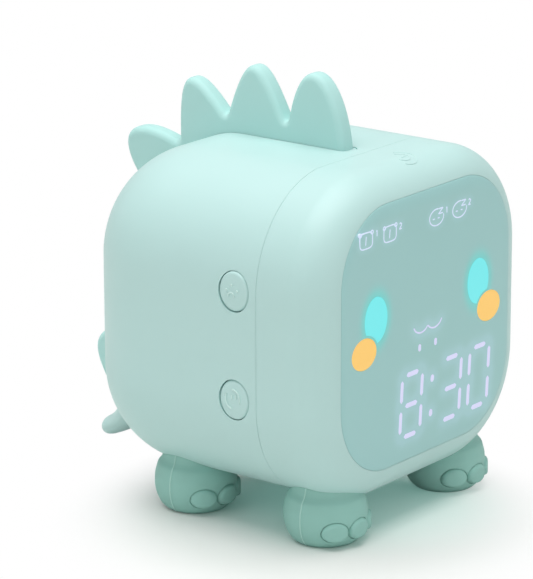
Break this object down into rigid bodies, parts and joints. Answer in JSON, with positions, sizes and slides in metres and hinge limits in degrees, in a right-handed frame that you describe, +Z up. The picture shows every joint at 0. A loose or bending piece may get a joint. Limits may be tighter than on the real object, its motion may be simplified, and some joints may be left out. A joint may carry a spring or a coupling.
{
  "type": "alarm clock with night light",
  "caption": "Children's alarm clock shaped as a small dinosaur: rounded cube casing with a lit face and figures, side push buttons, rubber feet, and a spiked crest that glows as a night light.",
  "frame": {"origin": "on the table, under the middle of the whole object's bounding box", "axes": "+Z up, +X to the dinosaur's left, +Y to its back, so the lit face looks along -Y"},
  "size_m": [0.0906, 0.1073, 0.1116],
  "materials": {
    "casing_plastic": "satin",
    "crest_silicone": "satin, translucent",
    "foot_rubber": "matt",
    "window_plastic": "smooth",
    "eye_lens": "lit",
    "cheek_lens": "lit",
    "lit_mark": "lit",
    "button_plastic": "satin",
    "frame_plastic": "matt",
    "light_guide": "translucent",
    "circuit_board": "solder-masked",
    "chip_plastic": "moulded",
    "lamp_chip": "moulded",
    "plunger_plastic": "moulded",
    "socket_metal": "plated",
    "screw_steel": "zinc-plated",
    "speaker_metal": "stamped",
    "speaker_paper": "pressed",
    "cell_wrap": "shrink-wrapped",
    "cable_plastic": "flat"
  },
  "bodies": {
    "clock": {"battery": "cell_wrap", "cable_sockets": "chip_plastic", "casing_screws": "screw_steel", "cheek_lenses": "cheek_lens", "clock_cell": "socket_metal", "colon_dots": "lit_mark", "crest": "crest_silicone", "crest_rail": "light_guide", "display_board": "circuit_board", "display_screws": "screw_steel", "display_window": "window_plastic", "eye_lenses": "eye_lens", "foot_front_left": "foot_rubber", "foot_front_right": "foot_rubber", "foot_rear_left": "foot_rubber", "foot_rear_right": "foot_rubber", "foot_washers": "socket_metal", "front_casing": "casing_plastic", "led_chips": "lamp_chip", "light_frame": "frame_plastic", "light_strip": "circuit_board", "lit_segments": "lit_mark", "main_board": "circuit_board", "main_board_screws": "screw_steel", "main_chips": "chip_plastic", "mouth_line": "lit_mark", "rear_casing": "casing_plastic", "reset_switch": "chip_plastic", "ribbon_cable": "cable_plastic", "side_board_screws": "screw_steel", "side_boards": "circuit_board", "speaker_basket": "speaker_metal", "speaker_cone": "speaker_paper", "speaker_gasket": "speaker_paper", "speaker_magnet": "speaker_metal", "strip_chips": "lamp_chip", "switch_bodies": "chip_plastic", "tail": "casing_plastic", "tail_screws": "screw_steel", "touch_pad": "socket_metal", "usb_shell": "socket_metal", "usb_tongue": "chip_plastic"},
    "button_right_upper": {"button_right_upper": "button_plastic", "plunger_right_upper": "plunger_plastic"},
    "button_right_lower": {"button_right_lower": "button_plastic", "plunger_right_lower": "plunger_plastic"},
    "button_left_upper": {"button_left_upper": "button_plastic", "plunger_left_upper": "plunger_plastic"},
    "button_left_lower": {"button_left_lower": "button_plastic", "plunger_left_lower": "plunger_plastic"}
  },
  "joints": [
    {"name": "press_right_upper", "type": "slide", "parent": "clock", "child": "button_right_upper", "axis": [1, 0, 0], "range_m": [0, 0.0006], "stiffness_N_per_m": 800},
    {"name": "press_right_lower", "type": "slide", "parent": "clock", "child": "button_right_lower", "axis": [1, 0, 0], "range_m": [0, 0.0006], "stiffness_N_per_m": 800},
    {"name": "press_left_upper", "type": "slide", "parent": "clock", "child": "button_left_upper", "axis": [-1, 0, 0], "range_m": [0, 0.0006], "stiffness_N_per_m": 800},
    {"name": "press_left_lower", "type": "slide", "parent": "clock", "child": "button_left_lower", "axis": [-1, 0, 0], "range_m": [0, 0.0006], "stiffness_N_per_m": 800}
  ]
}
